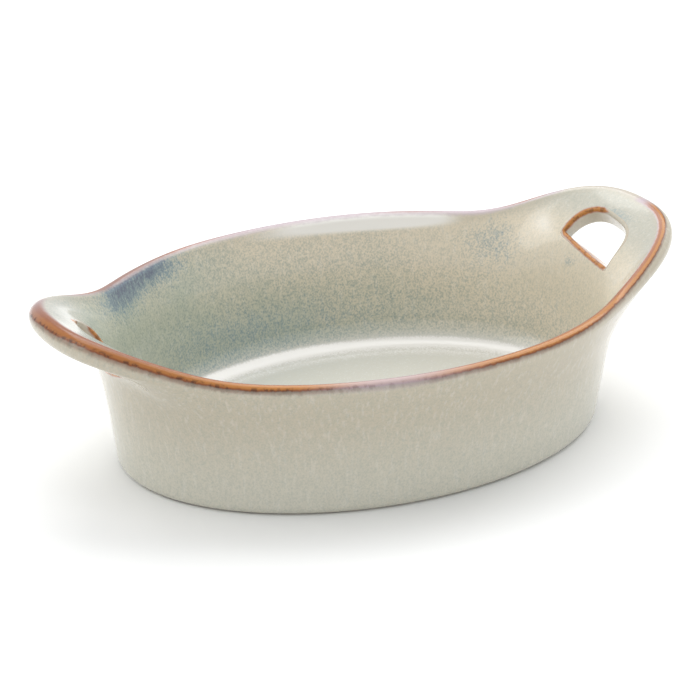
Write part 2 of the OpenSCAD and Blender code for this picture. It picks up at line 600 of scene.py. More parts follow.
@dataclass(frozen=True)
class EdgeWipe:
    """Where a finger hole's edge is wiped so thin that the glaze breaks brown, and how wide the brown is.

    Shares of the curve run from its front end to its rear end. The other values are millimetres by which the
    edge counts as further off than it is, so the brown narrows where they are more and widens where they are
    less.
    """

    begins: float = 0.3
    run: float = 0.34
    faint: float = 6.0
    curve: float = -0.6
    left_bells: tuple[Bell, ...] = (Bell(0.8, 0.08, 4.0), Bell(0.63, 0.04, -1.2))
    straight: float = -0.4
    outer_curve: float = 9.0
    outer_corner: float = 1.5
    outer_straight: float = -2.2

    def offsets(self, edge: HoleEdge) -> np.ndarray:
        """Works out how much further off each point of the two edges counts.

        The inner edge shows brown over the rear part of its curve and its whole straight side. On the left
        handle bells break the brown of the curve. The outer edge shows it in the middle of the straight side
        alone.

        Args:
            edge: The finger hole's edges.

        Returns:
            Millimetres for the inner edge's points and then the outer edge's.
        """
        share = np.arange(len(edge.inner)) / edge.rounded
        rounded = share < 1
        middle = np.sin(np.pi * np.clip((share - 1) / (share[-1] - 1), 0, 1))
        bells = ()
        if edge.handle is Handle.LEFT:
            share = 1 - share
            bells = self.left_bells
        away = (self.faint - self.curve) * (1 - np.clip((share - self.begins) / self.run, 0, 1)) + self.curve
        for bell in bells:
            away += bell.depth * np.exp(-(((share - bell.at) / bell.reach) ** 2))
        side = self.outer_corner + (self.outer_straight - self.outer_corner) * middle
        inner = np.where(rounded, away, self.straight)
        return np.concatenate([inner, np.where(rounded, away + self.outer_curve, side)])


@dataclass(frozen=True)
class SoftPatch:
    """A soft patch, used for thick glaze, veiling glaze and painted light: its middle on the dish in
    millimetres, its reach and its depth.
    """

    middle: tuple[float, float, float]
    reach: tuple[float, float, float]
    depth: float


@dataclass(frozen=True)
class Wave:
    """A slow wave in a wall: the axis it moves, its height, its pace in radians per centimetre, its start."""

    axis: int
    height: float
    pace: tuple[float, float, float]
    start: float


@dataclass
class BakingDish:
    """The whole dish: one piece of stoneware, its mesh and its finish.

    The first fields count rings, rungs and steps of the mesh. The brown ones are degrees and a power, the
    tight ones radians and a spread, and the others millimetres, shares or a power, as their methods say. The
    nudge is the small step of facing and share over which slopes are measured.
    """

    sizes: DishSizes = DishSizes()
    wipe: EdgeWipe = EdgeWipe()
    around: int = 480
    under_rings: int = 5
    recess_rings: int = 8
    foot_rings: int = 4
    edge_rings: int = 8
    bare_edge_rings: int = 3
    base_rungs: int = 8
    wall_rungs: int = 34
    rung_crowding: float = 1.4
    rim_steps: int = 20
    cove_steps: int = 18
    floor_rings: int = 12
    soft_steps: int = 5
    patch_rings: int = 6
    window_side: float = 6.0
    window_ends: float = 2.0
    nudge: float = 0.001
    scout_round: int = 60
    scout_side: int = 20
    brown_angle: float = 80.0
    brown_turn: float = 10.0
    brown_drop: float = 42.0
    brown_onset: float = 0.7
    tight_at: float = -0.25
    tight_reach: float = 0.15
    # A band of painted highlight round the cove, added to the gathered glaze: its middle and reach as shares
    # of the cove's arc.
    settled_sheen_at: float = 0.62
    settled_sheen_reach: float = 0.25
    hole_pooled: float = 0.3
    thick_at_line: float = 0.65
    thick_fade: float = 12.0
    thick_outside: float = 0.25
    hole_far: float = 20.0
    hole_region: float = 34.0
    wander: float = 0.16
    wander_from: float = 2.0
    wander_rise: float = 20.0
    box_hold: int = 8
    draw_in: float = 0.9999
    waves: tuple[Wave, ...] = (
        Wave(0, 1.0, (0.0, 0.9, 0.5), 0.4),
        Wave(0, 0.6, (0.0, -0.7, 1.3), 2.1),
        Wave(1, 1.0, (0.8, 0.0, -0.6), 1.7),
        Wave(1, 0.6, (1.1, 0.0, 0.9), 0.3),
        Wave(2, 0.5, (0.7, 0.9, 0.0), 2.9),
    )

    def __post_init__(self) -> None:
        """Works out what the mesh and the patterns share."""
        self.form = DishForm(self.sizes)
        self.facings = np.linspace(0, 2 * np.pi, self.around, endpoint=False)
        self.cove_top = self.form.cove_start(self.facings)

    def brown_line(self, f: np.ndarray) -> np.ndarray:
        """Works out the angle above level at which the glaze breaks brown over the rim.

        It is angle + turn * cos f, so it lies a little further out on the left, less drop * (sin f)^onset
        along the rear, where the band slips outwards.

        Args:
            f: Facings.

        Returns:
            Angles in radians.
        """
        drop = self.brown_drop * np.clip(np.sin(f), 0, 1) ** self.brown_onset
        return np.radians(self.brown_angle + self.brown_turn * np.cos(f) - drop)

    def tightness(self, f: np.ndarray) -> np.ndarray:
        """How many times narrower the brown band is at a facing: 1 + exp((cos(f - at) - 1) / reach)."""
        return 1 + np.exp((np.cos(f - self.tight_at) - 1) / self.tight_reach)

    def over_rim(self, f: np.ndarray, t: np.ndarray, face: Face) -> np.ndarray:
        """Works out how far a point of the wall lies past the brown line, outwards.

        The distance runs round the rim's half turn, half a thickness times the angle, and then down the wall.
        It is stretched by the tightness, because the band's tones go by it.

        Args:
            f: Facings.
            t: Shares of the way up.
            face: Which face of the wall.

        Returns:
            Distances in millimetres, negative on the inner side.
        """
        top = np.ones_like(t)
        normal = self.form.outward(f, top)
        edge = np.arctan2(normal[..., 1], normal[..., 0])
        half = self.form.half(f, top)
        down = self.form.left_to_top(f, t)
        if face is Face.OUTER:
            return (half * (self.brown_line(f) - edge) + down) * self.tightness(f)
        return (half * (self.brown_line(f) - edge - np.pi) - down) * self.tightness(f)

    def shares(self) -> np.ndarray:
        """Shares of the way up of the rungs above the cove: 1 - (1 - j / n)^crowding of what is left."""
        j = np.arange(self.wall_rungs + 1)[:, None] / self.wall_rungs
        return self.cove_top + (1 - self.cove_top) * (1 - (1 - j) ** self.rung_crowding)

    def ring(self, r: np.ndarray, z: np.ndarray, scale: np.ndarray | float = 1.0) -> np.ndarray:
        """Makes rings of the base.

        Args:
            r: Distance of each ring outside the foot's oval.
            z: Height of each ring.
            scale: How far each is drawn in towards the middle.

        Returns:
            Points, rings by facings.
        """
        section = np.stack(np.broadcast_arrays(r[:, None], z[:, None], self.facings[None])[:2], axis=-1)
        points = self.form.place(np.broadcast_to(self.facings, section.shape[:-1]), section)
        points[..., :2] *= np.broadcast_to(np.asarray(scale, float).reshape(-1, 1, 1), points[..., :1].shape)
        return points

    def rows(self) -> list[tuple[str, np.ndarray, np.ndarray | float]]:
        """Rings of points from the underside's middle, over the foot, wall and rim, to the floor's middle.

        The foot's edge, the rim and the cove are arcs: a centre and a radius times (cos a, sin a). The rim is
        half a turn about the top of the wall's middle, and the cove starts square to the inner face and ends
        level.

        Returns:
            Each block's name, its points as rings by columns, and how far past the brown line they lie.
        """
        sizes, form, f = self.sizes, self.form, self.facings
        recess, edge = sizes.foot_recess, sizes.foot_edge
        ring_in = -edge - sizes.foot_ring
        hollow = ring_in - 2 * recess
        inward = np.linspace(0, 1, self.under_rings + 2)[1:-1]
        dip = np.arange(self.recess_rings) / self.recess_rings
        flat = np.linspace(ring_in, -edge, self.foot_rings, endpoint=False)
        a = np.linspace(-np.pi / 2, -np.radians(sizes.lean), self.edge_rings, endpoint=False)
        blocks = [
            ("underside", self.ring(np.full_like(inward, hollow), np.full_like(inward, recess), inward), FAR),
            ("recess", self.ring(hollow + 2 * recess * dip, recess * (1 + np.cos(np.pi * dip)) / 2), FAR),
            ("foot", self.ring(flat, np.zeros_like(flat)), FAR),
            ("edge", self.ring(edge * (np.cos(a) - 1), edge * (1 + np.sin(a))), FAR),
        ]
        low = self.cove_top * np.arange(self.base_rungs)[:, None] / self.base_rungs
        t = np.concatenate([low, self.shares()[:-1]])
        g = np.broadcast_to(f, t.shape)
        outer = form.place(g, form.skin(g, t, Face.OUTER))
        blocks.append(("outer", outer, self.over_rim(g, t, Face.OUTER)))
        one = np.ones_like(f)
        normal = form.outward(f, one)
        start = np.arctan2(normal[:, 1], normal[:, 0])
        a = start + np.pi * np.arange(self.rim_steps)[:, None] / self.rim_steps
        half = form.half(f, one)
        cap = form.middle(f, one) + half[:, None] * np.stack([np.cos(a), np.sin(a)], axis=-1)
        cap = form.place(np.broadcast_to(f, a.shape), cap)
        blocks.append(("rim", cap, half * (self.brown_line(f) - a) * self.tightness(f)))
        t = self.shares()[:0:-1]
        g = np.broadcast_to(f, t.shape)
        inner = form.place(g, form.skin(g, t, Face.INNER))
        blocks.append(("inner", inner, self.over_rim(g, t, Face.INNER)))
        normal = form.outward(f, self.cove_top)
        centre = form.skin(f, self.cove_top, Face.INNER) - sizes.cove * normal
        start = np.arctan2(normal[:, 1], normal[:, 0])
        a = start + (-np.pi / 2 - start) * np.arange(self.cove_steps + 1)[:, None] / self.cove_steps
        cove = centre + sizes.cove * np.stack([np.cos(a), np.sin(a)], axis=-1)
        cove = form.place(np.broadcast_to(f, a.shape), cove)
        blocks.append(("cove", cove, -FAR))
        closing = np.linspace(1, 0, self.floor_rings + 1)[1:-1, None, None]
        floor = cove[-1] * np.array([1, 1, 0]) * closing + cove[-1] * np.array([0, 0, 1])
        blocks.append(("floor", floor, -FAR))
        return blocks

    def window(self) -> tuple[int, int, int]:
        """Sizes the window in the grid that a finger hole's faces fill, from a rough outline of the hole.

        Returns:
            Half its columns, and its lowest and highest rungs.
        """
        f, t = self.form.hole_outline(self.scout_round, self.scout_side)
        low = self.form.cove_start(f)
        rung = self.wall_rungs * (1 - ((1 - t) / (1 - low)) ** (1 / self.rung_crowding))
        half = int(np.ceil(np.abs(f).max() / (2 * np.pi / self.around) + self.window_side))
        top = min(self.wall_rungs, int(np.ceil(rung.max() + self.window_ends)))
        return half, int(np.floor(rung.min() - self.window_ends)), top

    def window_loop(self, window: tuple[int, int, int]) -> tuple[np.ndarray, np.ndarray]:
        """Walks round the window's edge: up its first column, along the top, down, and back along the bottom.

        Args:
            window: The window's half width and its lowest and highest rungs.

        Returns:
            Columns from the handle's tip, and rungs.
        """
        half, low, high = window
        up, right = np.arange(low, high), np.arange(-half, half)
        columns = np.concatenate([np.full(high - low, -half), right, np.full(high - low, half), -right])
        rungs = np.concatenate([up, np.full(2 * half, high), up[::-1] + 1, np.full(2 * half, low)])
        return columns, rungs

    def hole_rings(self, f: np.ndarray, t: np.ndarray) -> np.ndarray:
        """Rings through the finger hole from outer to inner face, its edges softened by a quarter arc.

        A ring's point is the wall's middle, moved along the outward normal by half the thickness less the
        arc's sink, and away from the hole by the arc's reach. Away is the normal crossed with the ring's
        tangent.

        Args:
            f: Facings of the outline.
            t: Shares of the way up of the outline.

        Returns:
            The rings, from the outer face to the inner one.
        """
        middle = self.form.place(f, self.form.middle(f, t))
        normal = self.form.outward(f, t)
        out = np.stack([normal[:, 0] * np.cos(f), normal[:, 0] * np.sin(f), normal[:, 1]], axis=-1)
        away = np.cross(out, np.roll(middle, -1, axis=0) - np.roll(middle, 1, axis=0))
        away /= np.linalg.norm(away, axis=1, keepdims=True)
        a = np.linspace(0, np.pi / 2, self.soft_steps + 1)[:, None, None]
        reach, sink = self.sizes.hole_edge * (1 - np.sin(a)), self.sizes.hole_edge * (1 - np.cos(a))
        deep = (self.form.half(f, t)[:, None] - sink) * out
        return np.concatenate([middle + deep + reach * away, (middle - deep + reach * away)[::-1]])

    def hole_patch(
        self, window: tuple[int, int, int], face: Face, rim_ring: np.ndarray
    ) -> tuple[np.ndarray, np.ndarray]:
        """Rings on one face of the wall between the window's edge and the finger hole's first ring.

        Facing and share run evenly from the window to the hole's first ring. That ring stands off the hole's
        outline by its softened edge, a step that the wall's two slopes there turn into a change of facing and
        share.

        Args:
            window: The window's half width and its lowest and highest rungs.
            face: Which face of the wall.
            rim_ring: The hole's ring on that face.

        Returns:
            Rings of points, and how far past the brown line they lie.
        """
        half, low, high = window
        columns, rungs = self.window_loop(window)
        edge_f, edge_t = columns * 2 * np.pi / self.around, self.shares()[rungs, columns % self.around]
        f, t = self.form.hole_outline(2 * half + 2 * (high - low), 2 * half)
        k = (np.arange(1, self.patch_rings + 1) / (self.patch_rings + 1))[:, None]
        here = self.form.place(f, self.form.skin(f, t, face))
        nudge = self.nudge
        by_f = (self.form.place(f + nudge, self.form.skin(f + nudge, t, face)) - here) / nudge
        by_t = (self.form.place(f, self.form.skin(f, t + nudge, face)) - here) / nudge
        slopes = np.stack([by_f, by_t], axis=-1)
        steps = np.linalg.pinv(slopes) @ (rim_ring - here)[..., None]
        f, t = f + steps[:, 0, 0], t + steps[:, 1, 0]
        left = rim_ring - self.form.place(f, self.form.skin(f, t, face))
        ring_f, ring_t = edge_f + (f - edge_f) * k, edge_t + (t - edge_t) * k
        points = self.form.place(ring_f, self.form.skin(ring_f, ring_t, face)) + left * k[..., None]
        return points, self.over_rim(ring_f, ring_t, face)

    def pierce(
        self, made: Surface, grid: np.ndarray, kept: np.ndarray, first: dict[str, int]
    ) -> list[HoleEdge]:
        """Cuts a window into both faces at each handle, and fills it round a finger hole.

        Args:
            made: The surface that the hole's points and faces are added to.
            grid: Numbers of the grid's points, rings by columns.
            kept: Which cells of the grid stay, changed in place.
            first: Each block's first ring in the grid.

        Returns:
            The two finger holes' edges.
        """
        half, low, high = window = self.window()
        loop, rungs = self.window_loop(window)
        rounded = 2 * half + 2 * (high - low)
        f, t = self.form.hole_outline(rounded, 2 * half)
        rings = self.hole_rings(f, t)
        outer, outer_over = self.hole_patch(window, Face.OUTER, rings[0])
        inner, inner_over = self.hole_patch(window, Face.INNER, rings[-1])
        gathered = self.hole_pooled * np.sin(np.linspace(0, np.pi, len(rings)))[:, None]
        strips = [
            (outer, outer_over, 0.0),
            (rings, self.over_rim(f, t, Face.OUTER), gathered),
            (inner[::-1], inner_over[::-1], 0.0),
        ]
        outer_row, inner_row = first["outer"] + self.base_rungs, first["inner"] + self.wall_rungs
        soft = self.soft_steps // 2
        edges = []
        for handle, column in zip(Handle, (0, self.around // 2)):
            turned = np.array([handle.value, handle.value, 1.0])
            cells = (column + np.arange(-half, half)) % self.around
            kept[outer_row + low : outer_row + high, cells] = False
            kept[inner_row - high : inner_row - low, cells] = False
            columns = (column + loop) % self.around
            loops = [made.add_points(points * turned, over, pooled_and_sheen) for points, over, pooled_and_sheen in strips]
            first_loop, last_loop = grid[outer_row + rungs, columns], grid[inner_row - rungs, columns]
            made.add_bands(np.concatenate([first_loop[None], *loops, last_loop[None]]))
            edges.append(HoleEdge(rings[-1 - soft] * turned, rings[soft] * turned, rounded, handle))
        return edges

    def surface(self) -> tuple[Surface, dict[str, np.ndarray], list[HoleEdge]]:
        """Joins the rings, the finger holes and the two poles into one closed surface.

        The glaze gathers down the cove by k², with k the share of its arc, and exp(-((k - at) / reach)²) adds
        to it a band of painted highlight round the cove.

        Returns:
            The surface, the numbers of each block's rings, and the two finger holes' edges.
        """
        made = Surface()
        blocks = self.rows()
        k = np.linspace(0, 1, self.cove_steps + 1)[:, None]
        # k² is glaze gathering down the cove; the bell is a band of painted highlight round it.
        cove = k**2 + np.exp(-(((k - self.settled_sheen_at) / self.settled_sheen_reach) ** 2))
        gathered = {"cove": cove, "floor": 1.0}
        named = {}
        for name, points, over in blocks:
            named[name] = made.add_points(points, over, gathered.get(name, 0.0))
        grid = np.concatenate(list(named.values()))
        starts = np.cumsum([0] + [len(points) for _, points, _ in blocks])
        kept = np.ones((len(grid) - 1, self.around), bool)
        edges = self.pierce(made, grid, kept, dict(zip(named, starts)))
        here, there = grid[:-1], grid[1:]
        cells = np.stack([here, np.roll(here, -1, 1), np.roll(there, -1, 1), there], axis=-1)
        made.quads.append(cells[kept])
        recess, floor_z = self.sizes.foot_recess, self.sizes.foot_recess + self.sizes.floor
        middles = np.array([[0, 0, recess], [0, 0, floor_z]])
        poles = made.add_points(middles, np.array([FAR, -FAR]), np.array([0.0, 1.0]))
        under, over = grid[0], grid[-1]
        made.fans.append(np.stack([np.full(self.around, poles[0]), np.roll(under, -1), under], axis=-1))
        made.fans.append(np.stack([np.full(self.around, poles[1]), over, np.roll(over, -1)], axis=-1))
        return made, named, edges

    def wandered(self, points: np.ndarray) -> np.ndarray:
        """Moves points by the slight unevenness of a pressed and fettled wall.

        Each coordinate gains a sum of slow sine waves of the others, up to a quarter of a millimetre high and
        43 to 63 mm long. They fade out towards the foot, so that the dish stands flat, and towards the dish's
        furthest reach each way, so that its box stays the same. Then it is drawn in across by a hair, because
        the solid has fewer sections, whose flats lie just inside this curve.

        Args:
            points: Points in millimetres.

        Returns:
            The moved points.
        """
        shift = np.zeros_like(points)
        for wave in self.waves:
            angle = points / CENTIMETRE @ np.array(wave.pace) + wave.start
            shift[:, wave.axis] += wave.height * np.sin(angle)
        fade = np.clip((points[:, 2:] - self.wander_from) / self.wander_rise, 0, 1)
        still = 1 - (points / np.abs(points).max(axis=0)) ** self.box_hold
        return (points + self.wander * shift * still * fade) * np.array([1.0, self.draw_in, 1.0])

    def near_holes(self, points: np.ndarray, edges: list[HoleEdge]) -> np.ndarray:
        """Distance from each point to the nearest edge of a finger hole, with what the wiping adds to it.

        Args:
            points: Points in millimetres.
            edges: The finger holes' edges.

        Returns:
            Distances in millimetres, the same far one for all points that lie well away.
        """
        near = np.full(len(points), self.hole_far)
        for edge in edges:
            rings = np.concatenate([edge.inner, edge.outer])
            close = np.flatnonzero(np.abs(points[:, 0] - rings[:, 0].mean()) < self.hole_region)
            gap = np.linalg.norm(points[close, None, :] - rings[None], axis=-1) + self.wipe.offsets(edge)
            near[close] = np.minimum(near[close], gap.min(axis=1))
        return near

    def patch_sum(self, points: np.ndarray, patches: tuple[SoftPatch, ...]) -> np.ndarray:
        """Adds up depth * exp(-((point - middle) / reach)²) of each patch: how thick the glaze lies, with
        painted highlight and painted shade in some patches.

        Args:
            points: Points in millimetres.
            patches: The patches, with the painted light that some of them carry.

        Returns:
            Amounts, 0 away from the patches and about 1 in a deep one, negative where painted highlight is
            laid.
        """
        total = np.zeros(len(points))
        for patch in patches:
            off = (points - np.array(patch.middle)) / np.array(patch.reach)
            total += patch.depth * np.exp(-(off**2).sum(axis=1))
        return total

    def build(
        self,
        patches: tuple[SoftPatch, ...],
        veils_and_highlight: tuple[SoftPatch, ...],
        finishes: tuple[bpy.types.Material, ...],
    ) -> bpy.types.Object:
        """Makes the mesh, with its patterns' values as point attributes, and dresses it.

        Pools fade over the rim, from thick_at_line at the brown line to thick_outside on the outer wall.

        Args:
            patches: Where the glaze lies thick, with painted shade among them; painted highlight laid as milk
                where the depth is negative.
            veils_and_highlight: Where it stays over the rim and veils the brown; in the middle of the front
                rim it is partly painted highlight.
            finishes: The glaze, and the bare stoneware of the foot.

        Returns:
            The dish.
        """
        made, named, edges = self.surface()
        shape = np.concatenate(made.points)
        over = np.concatenate(made.over_rim)
        quads = np.concatenate(made.quads)
        mesh = bpy.data.meshes.new("baking_dish_glazed")
        faces = quads.tolist() + np.concatenate(made.fans).tolist()
        mesh.from_pydata((self.wandered(shape) * MILLIMETRE).tolist(), [], faces)
        held = np.clip(self.thick_at_line - over / self.thick_fade, self.thick_outside, 1.0)
        patterns = {
            "over_rim": over,
            "near_hole": self.near_holes(shape, edges),
            "thick_and_painted_light": self.patch_sum(shape, patches) * held,
            "veil_and_highlight": self.patch_sum(shape, veils_and_highlight),
            "pooled_and_sheen": np.concatenate(made.pooled_and_sheen),
        }
        for name, values in patterns.items():
            mesh.attributes.new(name, "FLOAT", "POINT").data.foreach_set("value", values.astype(np.float32))
        for finish in finishes:
            mesh.materials.append(finish)
        bare = np.zeros(len(shape), bool)
        bare[named["recess"][self.recess_rings // 2 :]] = True
        bare[named["foot"]] = True
        bare[named["edge"][: self.bare_edge_rings]] = True
        slots = np.zeros(len(mesh.polygons), np.int32)
        slots[: len(quads)] = bare[quads].all(axis=1)
        mesh.polygons.foreach_set("material_index", slots)
        mesh.polygons.foreach_set("use_smooth", np.ones(len(mesh.polygons), bool))
        mesh.validate()
        mesh.update()
        dish = bpy.data.objects.new("baking_dish_glazed", mesh)
        bpy.context.scene.collection.objects.link(dish)
        return dish


@dataclass(frozen=True)
class ReactiveGlaze:
    """Reactive glaze on stoneware: dipped, run down the walls in the kiln, fired glossy near 1250 degrees.

    The eye reads it by three things. It is a thick glass, so its gloss is sharp and a little rippled. It
    separates as it runs, so fine darker specks and short upright streaks lie in a paler beige and sage. It
    thins over every sharp edge, where the iron in the clay burns through in copper brown with a violet
    fringe.

    The grains' sizes are millimetres. The finest real specks are narrower than a pixel, which is about 0.4
    mm, so the fine grain is drawn coarser. Climbs over height and over the place along the dish are in
    metres, those over the rim and near a hole in millimetres, and the others go by noise and by the glaze's
    depth.
    """

    beige: str = "#d9cdb7"
    sage: str = "#b2b6a4"
    ash: str = "#b9b5a7"
    stone: str = "#bab09c"
    chalk: str = "#cac6b7"
    pale: str = "#cecbc2"
    teal: str = "#80908a"
    lagoon: str = "#7b939a"
    slate: str = "#5f627a"
    milk_and_highlight: str = "#edeae5"
    amber: str = "#b3773c"
    copper: str = "#965a33"
    rust: str = "#7d4526"
    umber: str = "#52301f"
    mauve: str = "#8d6f68"
    rose: str = "#ad8274"
    lilac: str = "#b5a8ae"

    ior: float = 1.46
    roughness: float = 0.16
    gloss: float = 0.5
    coat: float = 0.3
    coat_roughness: float = 0.05
    thin_gloss: float = -0.25
    thin_coat: float = -0.12
    ripple_strength: float = 0.22
    ripple_height: float = 0.0004
    ripple_grit: float = 0.1

    clouds: Grain = Grain(34.0, 3.0)
    fine: Grain = Grain(0.75, 2.0, 1.2, 0.6)
    coarse: Grain = Grain(2.2, 3.0, 1.3, 0.6)
    streaks: Grain = Grain(1.5, 2.0, 8.0)
    ragged: Grain = Grain(2.2, 3.0)
    slow: Grain = Grain(45.0, 2.0)
    ripple: Grain = Grain(10.0, 2.0)

    fine_share: float = 0.72
    tilt: float = 0.35
    tilt_start: float = -0.012
    cloud_lift: float = 0.05
    inner_face: Climb = Climb(0.0, 10.0)
    beige_above: Climb = Climb(-0.002, 0.05)
    ash_by_rim: Climb = Climb(0.058, 0.07)
    stone_above: Climb = Climb(0.0, 0.05)
    milky_streaks: Climb = Climb(0.5, 0.75, 0.14)
    # Pale where glaze gathers, and over the cove's band of painted highlight.
    pale_pooled_and_sheen: float = 0.85
    specks: Climb = Climb(0.38, 0.66, 0.62)
    specks_outside: float = 0.42
    specks_inside: float = 0.5
    specks_pooled_and_sheen: float = -0.6
    specks_above: Climb = Climb(0.03, 0.075, 0.4, 1.0)
    pool_specks: float = 1.4
    pool_streaks: float = 1.2
    pool_lagoon: Climb = Climb(0.1, 0.9, 0.9)
    pool_slate: Climb = Climb(0.5, 1.25, 0.8)
    # Milk where the amount is negative: painted highlights inside the rear rim and at the root of the right
    # handle.
    painted_highlight_milk: Climb = Climb(0.15, 0.7, 0.95)
    settled_specks: float = 0.8
    # Milk where glaze settles on the floor, and over the cove's band of painted highlight.
    settled_milk_and_sheen: Climb = Climb(0.95, 1.3, 0.9)

    band: float = 12.0
    ragged_by: float = 1.2
    slow_by: float = 2.0
    lilac_veil_and_highlight: Climb = Climb(0.1, 0.9, 0.9)
    veil_gone: Climb = Climb(0.9, 1.8, 0.15, 1.0)
    thick_mauve: Climb = Climb(0.1, 0.7, 0.8)
    left_rust: Climb = Climb(-0.135, -0.07, 0.0, 0.5)
    burnt_side: Climb = Climb(0.2, 2.2)
    burnt_spots: Climb = Climb(0.46, 0.6)
    burnt_left: Climb = Climb(-0.1, -0.03, 0.25, 0.95)
    hole_fringe: Climb = Climb(0.4, 1.3, 0.0, 1.0)
    hole_wiped: Climb = Climb(0.1, 0.8, 0.0, 1.0)
    hole_spots: Climb = Climb(0.48, 0.6, 0.5)

    def marks(self, tree: bpy.types.NodeTree) -> dict[str, Amount]:
        """Gathers what the tones go by: place, the mesh's own values, and noise in several grains.

        The specks are fine and coarse grain together, and across is the distance over the rim made ragged.

        Args:
            tree: The material's node tree.

        Returns:
            The amounts by name.
        """
        place = add_node(tree, "ShaderNodeTexCoord").outputs["Object"]
        along, _, height = add_node(tree, "ShaderNodeSeparateXYZ", {0: place}).outputs
        marks = {"along": Amount(tree, along), "height": Amount(tree, height)}
        for name in ("over_rim", "near_hole", "thick_and_painted_light", "veil_and_highlight", "pooled_and_sheen"):
            value = add_node(tree, "ShaderNodeAttribute", attribute_name=name)
            marks[name] = Amount(tree, value.outputs["Fac"])
        for name in ("clouds", "fine", "coarse", "streaks", "ragged", "slow", "ripple"):
            marks[name] = getattr(self, name).drawn(tree, place)
        marks["specks"] = marks["fine"] * self.fine_share + marks["coarse"] * (1 - self.fine_share)
        marks["ragged"] = (marks["ragged"] - 0.5) * self.ragged_by
        marks["across"] = marks["over_rim"] + (marks["ragged"] + (marks["slow"] - 0.5) * self.slow_by)
        return marks

    def body(self, tree: bpy.types.NodeTree, marks: dict[str, Amount]) -> bpy.types.NodeSocket:
        """Colours the thick glaze: beige over sage, with teal specks, milky streaks and blue pools, and with
        painted highlights and painted shade laid in these tones.

        Args:
            tree: The material's node tree.
            marks: The amounts that the tones go by.

        Returns:
            The colour.
        """
        height, streaks, specks = marks["height"], marks["streaks"], marks["specks"]
        thick_and_painted_light, pooled_and_sheen = marks["thick_and_painted_light"], marks["pooled_and_sheen"]
        milk_and_highlight = linear(self.milk_and_highlight)
        inside = self.inner_face.of(marks["over_rim"] * -1.0)
        tilted = height + (marks["along"] * self.tilt + self.tilt_start)
        upper = (marks["clouds"] - 0.5) * self.cloud_lift + tilted
        within = [
            (self.beige_above.of(upper), linear(self.beige)),
            (self.ash_by_rim.of(height), linear(self.ash)),
        ]
        # Outside, the chalk lower down is lighter and greyer than the stone above it: partly the glaze,
        # partly painted light lifting the shade near the floor.
        without = [(self.stone_above.of(height), linear(self.stone))]
        flecks = self.specks.of(specks) * (inside * self.specks_inside + self.specks_outside)
        flecks = flecks * (pooled_and_sheen * self.specks_pooled_and_sheen + 1.0) * self.specks_above.of(upper)
        runs = (streaks - 0.5) * self.pool_streaks + 1.0
        # Depth of glaze; the teal low on the rear wall in it is partly painted shade.
        depth = (specks - 0.5) * self.pool_specks + runs * thick_and_painted_light
        # Gathered glaze, with the cove's band of painted highlight in it.
        settled_and_sheen = (specks - 0.5) * self.settled_specks + pooled_and_sheen
        layers = [
            (inside, laid(tree, linear(self.sage), within)),
            (self.milky_streaks.of(streaks), milk_and_highlight),
            (pooled_and_sheen * self.pale_pooled_and_sheen, linear(self.pale)),
            (flecks, linear(self.teal)),
            (self.pool_lagoon.of(depth), linear(self.lagoon)),
            (self.pool_slate.of(depth), linear(self.slate)),
            # Painted highlights, laid as milk.
            (self.painted_highlight_milk.of(thick_and_painted_light * -1.0), milk_and_highlight),
            (self.settled_milk_and_sheen.of(settled_and_sheen), milk_and_highlight),
        ]
        return laid(tree, laid(tree, linear(self.chalk), without), layers)

    def broken(
        self, tree: bpy.types.NodeTree, marks: dict[str, Amount]
    ) -> tuple[bpy.types.NodeSocket, Amount]:
        """Colours the band in which the glaze breaks brown over the rim, from its violet fringe outwards.

        Veils and pools turn it lilac and mauve, and hide it where a veil is strong; on the middle of the
        front rim the lilac is partly painted highlight. Towards the left handle it is redder, and its outer
        side is burnt to umber in spots.

        Args:
            tree: The material's node tree.
            marks: The amounts that the tones go by.

        Returns:
            The colour, and how much of it covers the body.
        """
        across, along, veil_and_highlight = marks["across"], marks["along"], marks["veil_and_highlight"]
        # The copper on the rim's crest is darker than the amber further out, partly as painted shade against
        # the light that falls strongest on the crest.
        stops = [
            (0.03, self.lilac, 0.0),
            (0.13, self.lilac, 0.65),
            (0.21, self.rose, 0.95),
            (0.27, self.copper, 1.0),
            (0.40, self.copper, 1.0),
            (0.50, self.amber, 1.0),
            (0.61, self.amber, 1.0),
            (0.68, self.rust, 1.0),
            (0.73, self.umber, 0.6),
            (0.79, self.mauve, 0.5),
            (0.90, self.chalk, 0.0),
        ]
        ramp = [(at, (*linear(colour)[:3], cover)) for at, colour, cover in stops]
        share = across * (1.0 / self.band) + 0.5
        rim = add_node(tree, "ShaderNodeValToRGB", {0: share}, stops=ramp)
        burnt = self.burnt_side.of(across) * self.burnt_spots.of(marks["coarse"]) * self.burnt_left.of(along)
        layers = [
            # Lilac veil, partly painted highlight on the middle of the front rim.
            (self.lilac_veil_and_highlight.of(veil_and_highlight), linear(self.lilac)),
            (self.thick_mauve.of(marks["thick_and_painted_light"]), linear(self.mauve)),
            (self.left_rust.of(along), linear(self.rust)),
            (burnt, linear(self.umber)),
        ]
        cover = Amount(tree, rim.outputs["Alpha"]) * self.veil_gone.of(veil_and_highlight)
        return laid(tree, rim.outputs["Color"], layers), cover

